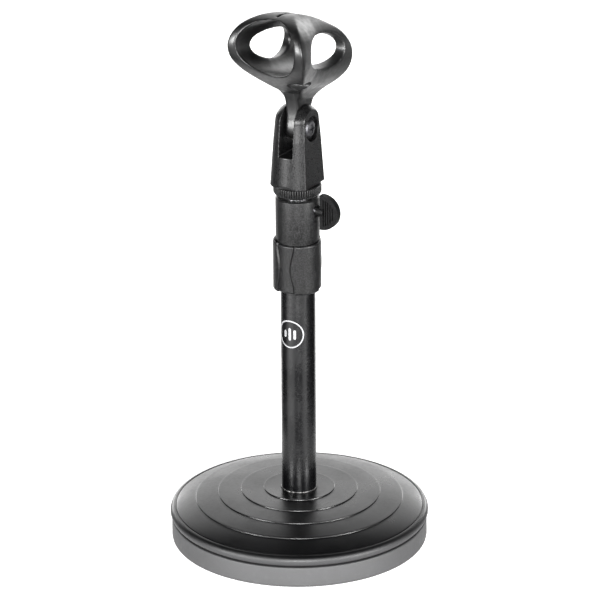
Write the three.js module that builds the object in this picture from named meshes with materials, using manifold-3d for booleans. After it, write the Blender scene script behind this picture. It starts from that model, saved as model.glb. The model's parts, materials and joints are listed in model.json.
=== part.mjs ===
// Table-top microphone stand: a heavy round base, a steel tube, a telescoping rod with a clutch and
// thumbscrew, and a flexible rubber clip on a tilting yoke. Millimetres, +Z up. The origin is the
// centre of the base's underside, the clip's mouth faces -Y and the clip tilts about the X axis.
import * as THREE from "three";
import { mergeVertices } from "three/addons/utils/BufferGeometryUtils.js";
import Module from "manifold-3d";

const wasm = await Module();
wasm.setup();

// ---- Driving dimensions -------------------------------------------------------------------------
const GAP = 0.3; // clearance left between neighbouring pieces
const FINE = 54; // facets round the large diameters
const MEDIUM = 40; // facets round tubes and rings
const COARSE = 24; // facets round screws, washers and other small pieces

const BASE = {
  radius: 75, // the bead, which is the widest circle
  plateRadius: 71.4, // outer edge of the domed top
  bottomZ: 1.5,
  crownZ: 29.6, // dome height at the middle
  domeDrop: 10.7, // from the crown to the plate's edge
  domePower: 3.2,
  stepRadii: [20.5, 33.7, 46.9, 59.9], // concentric terraces
  stepHeight: 0.5,
  beadZ: 15.8,
  beadSize: 3.2,
  grooveRadius: 71.6,
  grooveZ: 12.4,
};
const RING = { outer: 74.2, inner: 69.2, top: 12.1 }; // rubber ring round the base's lower edge
const UNDERLAY = { inner: 17, radius: 66, thickness: 1.2, z: 0.9 };
// The M10 bolt, its washers and the pocket under the casting that they sit in.
const BOLT = {
  shank: 5,
  clearance: 6.4,
  acrossFlats: 17,
  headZ: [3.7, 9.9],
  tipZ: 44,
  springWasher: { radius: 8.6, z: [10.1, 12] },
  washer: { radius: 11, z: [12.2, 13.8] },
  pocketRadius: 15,
  pocketZ: 14,
};

const TUBE = { radius: 10, bore: 8.8, bottomZ: 26.6, topZ: 176 };
const ROD = { radius: 7.94, bore: 6.7, bottomZ: 62, threadZ: 212, topZ: 231 };

const CLUTCH = { radius: 12.5, skirt: 12.1, bottomZ: 156.4, shoulderZ: 183.4, topZ: 209 };
// Barrel-shaped raised panels alternate with hourglass-shaped low ones round the collar.
const COLLAR = {
  bottomZ: 153.5,
  topZ: 183,
  low: 13.35,
  high: 14.1,
  panels: 3,
  firstCentre: THREE.MathUtils.degToRad(-35),
  halfSpan: THREE.MathUtils.degToRad(40), // half a raised panel, averaged over its height
  bulge: THREE.MathUtils.degToRad(4.8), // by how much it is wider at mid-height
};

const LOCK = { radius: 13.65, bottomZ: 210.4, topZ: 216.3, teeth: 54, toothDepth: 0.6 };

// The yoke is a round tapered post with a flat on either side, slotted for the clip's tongue.
const YOKE = {
  bottomZ: 216.8,
  topZ: 263.2,
  flatX: [11.6, 9.0], // a flat's distance from the axis, at the bottom and at the top
  roundR: [15.8, 12.4], // the round front and back's radius, at the bottom and at the top
  slotWidth: 8.6,
  slotFloorZ: 235.4,
  pocketRadius: 7.2,
  pocketDepth: 2.7,
};
const PIVOT_Z = 250; // height of the clip's tilt axis
const TONGUE = { radius: 7.2, thickness: 8 };
const CLIP_LEAN = THREE.MathUtils.degToRad(12); // the clip leans back, mouth up, at rest

// The thumbscrew's grip is a thin coin cut flat where it faces the clutch, on an M4 screw.
const THUMB = {
  z: 201.8,
  flat: 15.2, // distances from the column's axis
  coinCentre: 16.4,
  coinRadius: 10.2,
  thickness: 3.8,
  screwRadius: 2,
  screwEnd: 16.6,
};
const INSERT_RADIUS = 3.6; // the threaded insert that the thumbscrew turns in

// ---- Geometry helpers ---------------------------------------------------------------------------
// A closed three.js geometry as a manifold-3d solid: shared vertices merged, empty triangles dropped.
function solidOf(geometry) {
  const loose = geometry.index ? geometry.toNonIndexed() : geometry;
  const bare = new THREE.BufferGeometry();
  bare.setAttribute("position", loose.getAttribute("position"));
  const merged = mergeVertices(bare, 1e-4);
  const corners = merged.index.array;
  const kept = [];
  for (let i = 0; i < corners.length; i += 3) {
    const [a, b, c] = [corners[i], corners[i + 1], corners[i + 2]];
    if (a !== b && b !== c && a !== c) kept.push(a, b, c);
  }
  const mesh = new wasm.Mesh({
    numProp: 3,
    vertProperties: merged.getAttribute("position").array,
    triVerts: new Uint32Array(kept),
  });
  return new wasm.Manifold(mesh);
}

// A solid as a flat-shaded three.js geometry.
function geometryOf(solid) {
  const { vertProperties, numProp, triVerts } = solid.getMesh();
  const points = new Float32Array(triVerts.length * 3);
  triVerts.forEach((vertex, i) => {
    points.set(vertProperties.subarray(vertex * numProp, vertex * numProp + 3), i * 3);
  });
  const geometry = new THREE.BufferGeometry();
  geometry.setAttribute("position", new THREE.BufferAttribute(points, 3));
  geometry.computeVertexNormals();
  return geometry;
}

// A solid turned about Z from a closed outline of [radius, height] points, listed anticlockwise.
function turned(outline, facets) {
  const points = [...outline, outline[0]].map(([r, z]) => new THREE.Vector2(r, z));
  return solidOf(new THREE.LatheGeometry(points, facets).rotateX(Math.PI / 2));
}

// A plain ring or, with an inner radius of 0, a disc, between two heights.
function ring(inner, outer, bottom, top, facets) {
  return turned([[inner, bottom], [outer, bottom], [outer, top], [inner, top]], facets);
}

// A 2-D shape extruded from one height to another along Z.
function prism(shape, bottom, top, curveSegments = 12) {
  const geometry = new THREE.ExtrudeGeometry(shape, {
    depth: top - bottom,
    bevelEnabled: false,
    curveSegments,
  });
  return solidOf(geometry.translate(0, 0, bottom));
}

function box(sizeX, sizeY, sizeZ, x, y, z) {
  return solidOf(new THREE.BoxGeometry(sizeX, sizeY, sizeZ).translate(x, y, z));
}

// Lays a solid that was made along Z with its axis along X, keeping what was +X pointing down.
const alongX = (solid) => solid.rotate([0, 90, 0]);

// Joins sections with equal numbers of points, listed from the lowest up, into a closed solid.
function loft(sections) {
  const count = sections[0].length;
  const points = [];
  const triangle = (a, b, c) => points.push(...a, ...b, ...c);
  for (let level = 0; level + 1 < sections.length; level++) {
    const [low, high] = [sections[level], sections[level + 1]];
    for (let i = 0; i < count; i++) {
      const next = (i + 1) % count;
      triangle(low[i], low[next], high[next]);
      triangle(low[i], high[next], high[i]);
    }
  }
  const [bottom, top] = [sections[0], sections.at(-1)];
  for (let i = 1; i + 1 < count; i++) {
    triangle(bottom[0], bottom[i + 1], bottom[i]);
    triangle(top[0], top[i], top[i + 1]);
  }
  const geometry = new THREE.BufferGeometry();
  geometry.setAttribute("position", new THREE.BufferAttribute(new Float32Array(points), 3));
  return solidOf(geometry);
}

function material(colour, roughness, metalness) {
  return new THREE.MeshStandardMaterial({ color: colour, roughness, metalness });
}

const PAINT = material(0x1c1c1e, 0.35, 0.1);
const PLASTIC = material(0x232325, 0.55, 0);
const RUBBER = material(0x2b2b2e, 0.6, 0);
const STEEL = material(0x9a9a9c, 0.3, 1);
const BRASS = material(0xb5924a, 0.35, 1);
const NYLON = material(0xd8d6cf, 0.5, 0);
const FOAM = material(0x18181a, 0.95, 0);

function piece(name, solid, finish) {
  const mesh = new THREE.Mesh(geometryOf(solid), finish);
  mesh.name = name;
  return mesh;
}

// ---- Base ---------------------------------------------------------------------------------------
const domeZ = (r) => BASE.crownZ - BASE.domeDrop * (r / BASE.plateRadius) ** BASE.domePower;

// The terraced dome from its edge in to the socket, as [radius, height] points.
function domeOutline(socketRadius) {
  const stops = [BASE.plateRadius, ...[...BASE.stepRadii].reverse(), socketRadius];
  const points = [];
  for (let i = 0; i + 1 < stops.length; i++) {
    const [outer, inner] = [stops[i], stops[i + 1]];
    const lift = i === 0 ? 0 : BASE.stepHeight; // each terrace stands above the one outside it
    const spans = i === 0 ? 4 : 2;
    for (let s = 0; s <= spans; s++) {
      const r = outer + ((inner - outer) * s) / spans;
      const fade = s / spans; // the lift has gone again by the next terrace's edge
      points.push([r, domeZ(r) + lift * (1 - fade)]);
    }
  }
  return points;
}

function baseCasting() {
  const socketRadius = TUBE.radius + GAP;
  const bead = [];
  for (let i = 0; i <= 7; i++) {
    const angle = THREE.MathUtils.degToRad(-75 + (i * 155) / 7);
    bead.push([
      BASE.radius - BASE.beadSize + BASE.beadSize * Math.cos(angle),
      BASE.beadZ + BASE.beadSize * Math.sin(angle),
    ]);
  }
  const recess = { inner: 24, middle: 46, outer: 61, top: 17, edgeTop: 12 }; // casting relief
  const outline = [
    [BOLT.clearance, BOLT.pocketZ],
    [BOLT.pocketRadius, BOLT.pocketZ],
    [BOLT.pocketRadius, BASE.bottomZ + 1],
    [recess.inner - 4, BASE.bottomZ + 1],
    [recess.inner, recess.top],
    [recess.middle, recess.top],
    [recess.outer, recess.edgeTop],
    [recess.outer + 3, BASE.bottomZ + 1],
    [RING.inner - GAP, BASE.bottomZ + 1],
    [RING.inner - GAP, BASE.grooveZ],
    [BASE.grooveRadius, BASE.grooveZ],
    ...bead,
    ...domeOutline(socketRadius),
    [socketRadius, TUBE.bottomZ - GAP],
    [BOLT.clearance, TUBE.bottomZ - GAP],
  ];
  return turned(outline, FINE);
}

function baseRubberRing() {
  return turned(
    [
      [RING.inner, 0.6],
      [RING.inner + 0.6, 0],
      [RING.outer - 0.8, 0],
      [RING.outer, 0.8],
      [RING.outer, RING.top - 0.7],
      [RING.outer - 0.7, RING.top],
      [RING.inner, RING.top],
    ],
    FINE,
  );
}

function hexagon(acrossFlats) {
  const shape = new THREE.Shape();
  const corner = acrossFlats / Math.sqrt(3);
  for (let i = 0; i < 6; i++) {
    const angle = (i * Math.PI) / 3;
    const [x, y] = [corner * Math.cos(angle), corner * Math.sin(angle)];
    if (i) shape.lineTo(x, y);
    else shape.moveTo(x, y);
  }
  shape.closePath();
  return shape;
}

function addBase(group) {
  const { shank, headZ, tipZ, springWasher, washer } = BOLT;
  group.add(piece("base_casting", baseCasting(), PAINT));
  group.add(piece("base_rubber_ring", baseRubberRing(), RUBBER));
  const { inner, radius, thickness, z } = UNDERLAY;
  group.add(piece("base_underlay", ring(inner, radius, z, z + thickness, FINE), FOAM));
  const flatWasher = ring(shank + GAP, washer.radius, ...washer.z, COARSE);
  group.add(piece("base_washer", flatWasher, STEEL));
  const split = box(6, 1.2, 6, 7, 0, springWasher.z[0] + 1);
  const closedSpring = ring(shank + GAP, springWasher.radius, ...springWasher.z, COARSE);
  group.add(piece("base_spring_washer", closedSpring.subtract(split), STEEL));
  const head = prism(hexagon(BOLT.acrossFlats), ...headZ);
  const bolt = head.add(ring(0, shank, headZ[0] + 1, tipZ, COARSE));
  group.add(piece("base_bolt", bolt, STEEL));
}

// ---- Column -------------------------------------------------------------------------------------
function addColumn(group) {
  const edge = 0.5; // chamfer on the tube's ends
  const tube = turned(
    [
      [TUBE.bore, TUBE.bottomZ],
      [TUBE.radius - edge, TUBE.bottomZ],
      [TUBE.radius, TUBE.bottomZ + edge],
      [TUBE.radius, TUBE.topZ - edge],
      [TUBE.radius - edge, TUBE.topZ],
      [TUBE.bore, TUBE.topZ],
    ],
    MEDIUM,
  );
  group.add(piece("lower_tube", tube, PAINT));
  const plug = ring(5.3, TUBE.bore - 0.1, TUBE.bottomZ + 0.1, 48, MEDIUM);
  group.add(piece("tube_plug", plug, STEEL));
  const bush = turned(
    [
      [8.1, TUBE.topZ - 14],
      [8.7, TUBE.topZ - 14],
      [8.7, TUBE.topZ + 0.1],
      [TUBE.radius, TUBE.topZ + 0.1],
      [TUBE.radius, TUBE.topZ + 1.1],
      [8.1, TUBE.topZ + 1.1],
    ],
    MEDIUM,
  );
  group.add(piece("rod_guide_bush", bush, NYLON));
}

// ---- Clutch -------------------------------------------------------------------------------------
function clutchBody() {
  const seat = TUBE.topZ + 1.4;
  const body = turned(
    [
      [TUBE.radius + 0.15, CLUTCH.bottomZ],
      [CLUTCH.skirt, CLUTCH.bottomZ],
      [CLUTCH.skirt, CLUTCH.shoulderZ],
      [CLUTCH.radius, CLUTCH.shoulderZ],
      [CLUTCH.radius, CLUTCH.topZ - 0.7],
      [CLUTCH.radius - 0.7, CLUTCH.topZ],
      [ROD.radius + 0.4, CLUTCH.topZ],
      [ROD.radius + 0.4, seat],
      [TUBE.radius + 0.15, seat],
    ],
    MEDIUM,
  );
  const insertHole = alongX(ring(0, INSERT_RADIUS + 0.15, 6, 14, COARSE));
  return body.subtract(insertHole.translate([0, 0, THUMB.z]));
}

// One level of the collar's outside, anticlockwise, at a share of its height.
function collarSection(share) {
  const z = COLLAR.bottomZ + share * (COLLAR.topZ - COLLAR.bottomZ);
  const half = COLLAR.halfSpan - COLLAR.bulge * Math.cos(share * 2 * Math.PI);
  const pitch = (2 * Math.PI) / COLLAR.panels;
  const stepAngle = 0.02; // the step's own run, as an angle
  const section = [];
  const arc = (radius, from, to, count) => {
    for (let i = 0; i <= count; i++) {
      const angle = from + ((to - from) * i) / count;
      section.push([radius * Math.cos(angle), radius * Math.sin(angle), z]);
    }
  };
  for (let panel = 0; panel < COLLAR.panels; panel++) {
    const centre = COLLAR.firstCentre + panel * pitch;
    arc(COLLAR.high, centre - half, centre + half, 9);
    arc(COLLAR.low, centre + half + stepAngle, centre + pitch - half - stepAngle, 5);
  }
  return section;
}

function clutchCollar() {
  const levels = 8;
  const sections = [];
  for (let level = 0; level <= levels; level++) sections.push(collarSection(level / levels));
  const bore = ring(0, CLUTCH.skirt + GAP, COLLAR.bottomZ + 2, COLLAR.topZ + 1, MEDIUM);
  const mouth = ring(0, TUBE.radius + 0.5, COLLAR.bottomZ - 1, COLLAR.bottomZ + 3, MEDIUM);
  return loft(sections).subtract(bore).subtract(mouth);
}

// The coin with its ribs, bounded by a plain rim, and the boss that holds the screw.
function thumbWing() {
  const { flat, coinCentre, coinRadius, thickness, screwRadius, screwEnd } = THUMB;
  const half = thickness / 2;
  const turn = Math.acos((flat - coinCentre) / coinRadius);
  const outline = new THREE.Shape();
  outline.absarc(coinCentre, 0, coinRadius, turn, -turn, true);
  outline.closePath();
  let wing = prism(outline, -half, half, 36).rotate([90, 0, 0]);
  const ribPitch = 1.45;
  const grooveWidth = 0.75;
  const grooveDepth = 0.5;
  const rimRadius = 7.9; // the ribs end inside this
  for (const side of [-1, 1]) {
    for (let i = 0; i < 5; i++) {
      const x = coinCentre + 1.2 + i * ribPitch;
      const length = 2 * Math.sqrt(rimRadius ** 2 - (x - coinCentre) ** 2);
      wing = wing.subtract(box(grooveWidth, 2 * grooveDepth, length, x, side * half, 0));
    }
  }
  const boss = alongX(ring(0, screwRadius + 1, 13.4, screwEnd + 0.9, COARSE));
  const socket = alongX(ring(0, screwRadius + GAP, 13, screwEnd + GAP, COARSE));
  return wing.add(boss).subtract(socket);
}

function addThumbscrew(group) {
  const { z, screwRadius, screwEnd } = THUMB;
  const screw = new THREE.Group();
  screw.position.z = z;
  screw.add(piece("thumb_wing", thumbWing(), PLASTIC));
  const shank = alongX(ring(0, screwRadius, 9, screwEnd, COARSE));
  screw.add(piece("thumb_screw_shank", shank, STEEL));
  screw.add(piece("thumb_pressure_pad", alongX(ring(0, 2.6, 8.2, 8.7, COARSE)), NYLON));
  group.add(screw);
  const thread = alongX(ring(screwRadius + GAP, INSERT_RADIUS, 9, 11.8, COARSE));
  const insert = piece("thumb_insert_nut", thread, BRASS);
  insert.position.z = z;
  group.add(insert);
}

// ---- Rod and lock ring --------------------------------------------------------------------------
function upperRod() {
  const pitch = 3; // a few rings stand for the thread
  const outline = [[ROD.bore, ROD.bottomZ], [ROD.radius, ROD.bottomZ], [ROD.radius, ROD.threadZ]];
  for (let z = ROD.threadZ; z + pitch < ROD.topZ - 0.4; z += pitch) {
    outline.push([ROD.radius - 0.45, z + pitch / 2], [ROD.radius, z + pitch]);
  }
  outline.push([ROD.radius - 0.8, ROD.topZ], [ROD.bore, ROD.topZ]);
  return turned(outline, MEDIUM);
}

function lockRing() {
  const outline = new THREE.Shape();
  const steps = LOCK.teeth * 2;
  for (let i = 0; i < steps; i++) {
    const angle = (i / steps) * 2 * Math.PI;
    const r = LOCK.radius - (i % 2 ? LOCK.toothDepth : 0);
    const [x, y] = [r * Math.cos(angle), r * Math.sin(angle)];
    if (i) outline.lineTo(x, y);
    else outline.moveTo(x, y);
  }
  outline.closePath();
  const knurled = prism(outline, LOCK.bottomZ, LOCK.topZ);
  const rounded = turned(
    [
      [8.25, LOCK.bottomZ - 0.1],
      [LOCK.radius - 1.2, LOCK.bottomZ - 0.1],
      [LOCK.radius + 0.2, LOCK.bottomZ + 1.5],
      [LOCK.radius + 0.2, LOCK.topZ - 0.5],
      [LOCK.radius - 0.5, LOCK.topZ + 0.1],
      [8.25, LOCK.topZ + 0.1],
    ],
    MEDIUM,
  );
  return knurled.intersect(rounded);
}

function addRod(group) {
  group.add(piece("upper_rod", upperRod(), STEEL));
  const plug = turned(
    [
      [0, ROD.bottomZ - 4],
      [8.2, ROD.bottomZ - 4],
      [8.6, ROD.bottomZ - 3.4],
      [8.6, ROD.bottomZ - GAP],
      [ROD.bore - 0.2, ROD.bottomZ - GAP],
      [ROD.bore - 0.2, ROD.bottomZ + 12],
      [0, ROD.bottomZ + 12],
    ],
    MEDIUM,
  );
  group.add(piece("rod_end_plug", plug, NYLON));
  group.add(piece("lock_ring", lockRing(), PLASTIC));
}

// ---- Yoke ---------------------------------------------------------------------------------------
// One level of the yoke's tapered body, anticlockwise: a circle with its two sides cut flat.
function yokeSection(z) {
  const share = (z - YOKE.bottomZ) / (YOKE.topZ - YOKE.bottomZ);
  const flat = THREE.MathUtils.lerp(...YOKE.flatX, share);
  const radius = THREE.MathUtils.lerp(...YOKE.roundR, share);
  const corner = Math.acos(flat / radius);
  const section = [];
  const steps = 14;
  for (const start of [corner, Math.PI + corner]) {
    for (let i = 0; i <= steps; i++) {
      const angle = start + ((Math.PI - 2 * corner) * i) / steps;
      section.push([radius * Math.cos(angle), radius * Math.sin(angle), z]);
    }
  }
  return section;
}

// The yoke's outline seen along X: a tapered post with a round top and a rounded lower edge.
function yokeSideOutline() {
  const { bottomZ, topZ } = YOKE;
  const side = new THREE.Shape();
  side.moveTo(-14.2, bottomZ);
  side.lineTo(-16.2, bottomZ + 2.4);
  side.lineTo(-13.2, topZ - 10);
  side.bezierCurveTo(-12.6, topZ - 3, -8.5, topZ, 0, topZ);
  side.bezierCurveTo(8.5, topZ, 12.6, topZ - 3, 13.2, topZ - 10);
  side.lineTo(16.2, bottomZ + 2.4);
  side.lineTo(14.2, bottomZ);
  side.closePath();
  return side;
}

function yokeBody() {
  const sections = [YOKE.bottomZ, YOKE.topZ].map(yokeSection);
  const profile = prism(yokeSideOutline(), -20, 20, 10).rotate([90, 0, 90]);
  let body = loft(sections).intersect(profile);
  const slotHeight = YOKE.topZ - YOKE.slotFloorZ + 2;
  const slotZ = YOKE.slotFloorZ + slotHeight / 2;
  body = body.subtract(box(YOKE.slotWidth, 40, slotHeight, 0, 0, slotZ));
  body = body.subtract(ring(0, 9.7, YOKE.bottomZ - 1, 232.4, MEDIUM));
  const screwHole = alongX(ring(0, 2.7, -20, 20, COARSE)).translate([0, 0, PIVOT_Z]);
  const face = 9.75; // the flat's distance from the axis at the pivot's height
  const pocketFloor = face - YOKE.pocketDepth;
  const headPocket = alongX(ring(0, YOKE.pocketRadius, pocketFloor, 14, COARSE));
  const nutPocket = prism(hexagon(8.6), pocketFloor, 14).rotate([0, -90, 0]);
  return body
    .subtract(screwHole)
    .subtract(headPocket.translate([0, 0, PIVOT_Z]))
    .subtract(nutPocket.translate([0, 0, PIVOT_Z]));
}

function pivotScrew() {
  const headBottom = 7.4;
  const dome = turned(
    [
      [0, headBottom],
      [5.1, headBottom],
      [5.1, headBottom + 0.8],
      [4.2, headBottom + 1.8],
      [2.2, headBottom + 2.3],
      [0, headBottom + 2.4],
    ],
    COARSE,
  );
  const cross = box(1.1, 5.4, 2, 0, 0, headBottom + 2.3).add(
    box(5.4, 1.1, 2, 0, 0, headBottom + 2.3),
  );
  const shank = ring(0, 2.45, -10.6, headBottom + 0.2, COARSE);
  return alongX(dome.add(shank).subtract(cross));
}

function addYoke(group) {
  group.add(piece("yoke", yokeBody(), PLASTIC));
  const insert = ring(8.2, 9.4, YOKE.bottomZ + 0.2, 232, MEDIUM);
  group.add(piece("yoke_thread_insert", insert, BRASS));
  const pivot = new THREE.Group();
  pivot.position.z = PIVOT_Z;
  pivot.add(piece("pivot_screw", pivotScrew(), STEEL));
  const nut = prism(hexagon(8), 7.35, 10).subtract(ring(0, 2.6, 7, 12, COARSE));
  pivot.add(piece("pivot_nut", nut.rotate([0, -90, 0]), STEEL));
  group.add(pivot);
}

// ---- Clip ---------------------------------------------------------------------------------------
// The clip's own frame: the tilt axis is X through its origin, the stem runs up Z, the mouth is -Y.
function smoothOutline(points) {
  const path = new THREE.Shape();
  const curve = new THREE.CatmullRomCurve3(
    points.map(([forward, z]) => new THREE.Vector3(forward, z, 0)),
    true,
    "centripetal",
  );
  curve.getPoints(points.length * 5).slice(0, -1).forEach((p, i) => {
    if (i) path.lineTo(p.x, p.y);
    else path.moveTo(p.x, p.y);
  });
  path.closePath();
  return path;
}

// A shape drawn as (forward, up) and extruded across the clip, from one X to another.
function acrossClip(shape, fromX, toX, curveSegments) {
  return prism(shape, fromX, toX, curveSegments).rotate([90, 0, -90]);
}

const SHELL = {
  centreZ: 43.5,
  halfHeight: 23,
  boreCentreZ: 46.4,
  boreHalfHeight: 15.8,
  wall: 5.6,
  frontY: -50,
  backY: 28,
};

const EYE = { forward: 11, z: 46.3 }; // middle of the oval hole in each leaf

// Half the shell's outer width at a distance forward of the stem: it flares towards the mouth.
const shellHalfWidth = (forward) => 20 + 3.8 * THREE.MathUtils.smoothstep(forward, 14, 44);

function shellTube(inset, centreZ, halfHeight) {
  const sections = [];
  const steps = 56;
  const lengthwise = 10;
  for (let i = 0; i <= lengthwise; i++) {
    const y = THREE.MathUtils.lerp(SHELL.backY, SHELL.frontY, i / lengthwise);
    const halfWidth = shellHalfWidth(-y) - inset;
    const section = [];
    for (let s = 0; s < steps; s++) {
      const angle = (s / steps) * 2 * Math.PI;
      section.push([halfWidth * Math.cos(angle), y, centreZ + halfHeight * Math.sin(angle)]);
    }
    sections.push(section);
  }
  return loft(sections);
}

// The oval hole through one leaf's side, flared outwards.
function eyeHole(side) {
  const rims = [
    { x: 8, length: 19.4, height: 7.8 },
    { x: 15, length: 20.2, height: 9 },
    { x: 24, length: 23.4, height: 12.8 },
  ];
  const steps = 32;
  const ordered = side > 0 ? rims : [...rims].reverse();
  const sections = ordered.map(({ x, length, height }) => {
    const section = [];
    for (let s = 0; s < steps; s++) {
      const angle = (s / steps) * 2 * Math.PI;
      const forward = EYE.forward + length * Math.cos(angle);
      section.push([side * x, -forward, EYE.z - height * Math.sin(angle)]);
    }
    return section;
  });
  return loft(sections);
}

function ovoid(halfX, halfY, halfZ, x, y, z) {
  const geometry = new THREE.SphereGeometry(1, 20, 12);
  return solidOf(geometry.scale(halfX, halfY, halfZ).translate(x, y, z));
}

function clipBody() {
  const leaf = smoothOutline([
    [2, 61.2],
    [12, 64.2],
    [24, 65.4],
    [36, 64],
    [45.2, 57.4],
    [47.6, 47.5],
    [44, 39.8],
    [36, 32.8],
    [21, 24],
    [9, 17],
    [-8.5, 17],
    [-14, 25.5],
    [-20.3, 32.5],
    [-21.6, 40],
    [-19, 48],
    [-10, 56.4],
  ]);
  const outer = shellTube(0, SHELL.centreZ, SHELL.halfHeight);
  const bore = shellTube(SHELL.wall, SHELL.boreCentreZ, SHELL.boreHalfHeight);
  let body = outer.subtract(bore).intersect(acrossClip(leaf, -30, 30));
  body = body.subtract(eyeHole(1)).subtract(eyeHole(-1));
  body = body.subtract(ovoid(5, 4.6, 3, 9.8, -22.4, 24.8)); // a moulded recess under the right leaf
  const slit = box(0.8, 60, 12, 0, -6, 65);
  body = body.subtract(slit);

  const neck = new THREE.Shape();
  neck.moveTo(-7.4, 4);
  neck.bezierCurveTo(-7.4, 12, -9, 16, -14, 24);
  neck.lineTo(18, 24);
  neck.bezierCurveTo(12, 18, 8.2, 14, 7.4, 4);
  neck.closePath();
  const { radius, thickness } = TONGUE;
  const stem = acrossClip(neck, -thickness / 2, thickness / 2, 8);
  const tongue = alongX(ring(0, radius, -thickness / 2, thickness / 2, COARSE));
  const bushHole = alongX(ring(0, 3.6, -10, 10, COARSE));
  const shoulder = loft(
    [16, 20, 24].map((z, i) => {
      const [halfX, front, back] = [[4, 9, 8.5], [6.5, 13, 11], [10, 18, 14.5]][i];
      return [[-halfX, back, z], [-halfX, -front, z], [halfX, -front, z], [halfX, back, z]];
    }),
  );
  return body.add(stem).add(shoulder).add(tongue).subtract(bushHole);
}

function addClip(group) {
  const clip = new THREE.Group();
  clip.position.z = PIVOT_Z;
  clip.rotation.x = -CLIP_LEAN;
  clip.add(piece("clip_body", clipBody(), RUBBER));
  const bush = alongX(ring(2.75, 3.35, -3.9, 3.9, COARSE));
  clip.add(piece("pivot_bush", bush, STEEL));
  group.add(clip);
}

const stand = new THREE.Group();
stand.name = "microphone_stand";
addBase(stand);
addColumn(stand);
stand.add(piece("clutch_body", clutchBody(), PLASTIC));
stand.add(piece("clutch_collar", clutchCollar(), PLASTIC));
addThumbscrew(stand);
addRod(stand);
addYoke(stand);
addClip(stand);

export default stand;
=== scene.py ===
"""A table-top microphone stand, dressed for its portrait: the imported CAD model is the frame, and each
visible part is either the CAD node with a finer finish or a smoother piece that replaces it."""

import json
import math

import bmesh
import bpy
from mathutils import Matrix, Vector


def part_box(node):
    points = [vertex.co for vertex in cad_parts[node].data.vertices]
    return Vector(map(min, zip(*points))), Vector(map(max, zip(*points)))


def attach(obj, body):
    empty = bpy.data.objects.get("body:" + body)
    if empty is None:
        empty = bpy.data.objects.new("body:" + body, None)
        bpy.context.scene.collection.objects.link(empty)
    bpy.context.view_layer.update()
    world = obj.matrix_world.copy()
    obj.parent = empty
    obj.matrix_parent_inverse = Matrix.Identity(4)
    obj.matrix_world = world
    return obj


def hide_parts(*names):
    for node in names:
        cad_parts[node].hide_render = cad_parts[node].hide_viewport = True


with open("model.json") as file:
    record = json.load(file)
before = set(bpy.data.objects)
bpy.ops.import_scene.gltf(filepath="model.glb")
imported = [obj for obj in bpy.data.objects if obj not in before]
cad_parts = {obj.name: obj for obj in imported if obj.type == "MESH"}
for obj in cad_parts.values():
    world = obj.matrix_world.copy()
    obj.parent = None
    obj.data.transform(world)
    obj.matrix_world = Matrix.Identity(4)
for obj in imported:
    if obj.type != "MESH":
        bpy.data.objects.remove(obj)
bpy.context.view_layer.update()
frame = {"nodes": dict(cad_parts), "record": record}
NODES = frame["nodes"]
MM = 0.001
FULL_TURN = 2 * math.pi

CLIP_LEAN = math.radians(-12)  # the clip leans back at rest, about the pivot screw
PIVOT_HEIGHT = 250  # mm

VIEW_AZIMUTH = math.radians(29)  # the picture is taken from the stand's front right
VIEW_PITCH = math.radians(21.6)
VIEW_ROLL = math.radians(-0.35)
VIEW_DISTANCE = 2.2  # metres
VIEW_SIDE = 0.0011  # the point looked at, in metres to the right of the stand's axis
VIEW_HEIGHT = 0.1455  # and above the table
LENS_MM = 231.9
SENSOR_MM = 36

# Light panels: azimuth from straight behind the stand and elevation of the middle, the angle from it
# that is fully lit, the angle where it ends, in degrees, and its radiance.
PANELS = [
    (0, 14, 26, 49, 1.9),
    (-128, 4, 4, 15, 62.0),
    (128, 4, 4, 15, 64.0),
    (180, 9, 4, 17, 45.0),
    (-25, 4, 3, 12, 5.0),
    (25, 4, 3, 12, 5.0),
]

# Dark cloths on the floor beyond the picture's edges, which only the sheen of the stand picks up:
# first and last azimuth from the camera's side, in degrees, and nearest and furthest reach in metres.
CLOTHS = [
    (-24, 24, 0.13, 0.4),
    (78, 131, 0.16, 1.3),
    (-131, -54, 0.16, 1.3),
]
ROOM_LEVEL = 0.02  # radiance of the room between the panels
CLOTH_BOTTOM = 0.4  # mm above the floor
CLOTH_TOP = 0.9
FLOOR_SIZE = 6.0  # metres
FLOOR_GLOW = 0.45


def node_box(name):
    """A CAD node's lowest and highest corners, in millimetres."""
    low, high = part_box(name)
    return low / MM, high / MM


def circle(count):
    """(cosine, sine) of count even steps round a full turn."""
    turns = [FULL_TURN * i / count for i in range(count)]
    return [(math.cos(turn), math.sin(turn)) for turn in turns]


def ring_about_z(radius, height, count):
    return [(radius * c, radius * s, height) for c, s in circle(count)]


# ---- Mesh helpers -------------------------------------------------------------------------------
def new_object(name, mesh):
    """A new object in the scene, with the mesh or other data given."""
    obj = bpy.data.objects.new(name, mesh)
    bpy.context.scene.collection.objects.link(obj)
    return obj


def smooth(obj, crease_degrees=35):
    """Smooth shading, kept sharp where faces meet at more than the given angle."""
    obj.data.shade_smooth()
    obj.data.set_sharp_from_angle(angle=math.radians(crease_degrees))
    return obj


def grid_mesh(name, rows, closed_rows=True):
    """A closed mesh from rows of points in millimetres. Each row is a loop, joined to the next row.
    The last row joins the first, or else both are capped with a face."""
    bm = bmesh.new()
    made = [[bm.verts.new(Vector(p) * MM) for p in row] for row in rows]
    row_count, column_count = len(rows), len(rows[0])
    for i in range(row_count if closed_rows else row_count - 1):
        for j in range(column_count):
            a, b = made[i], made[(i + 1) % row_count]
            k = (j + 1) % column_count
            bm.faces.new((a[j], a[k], b[k], b[j]))
    if not closed_rows:
        bm.faces.new(made[0])
        bm.faces.new(made[-1])
    bmesh.ops.recalc_face_normals(bm, faces=bm.faces)
    mesh = bpy.data.meshes.new(name)
    bm.to_mesh(mesh)
    bm.free()
    return new_object(name, mesh)


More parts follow.
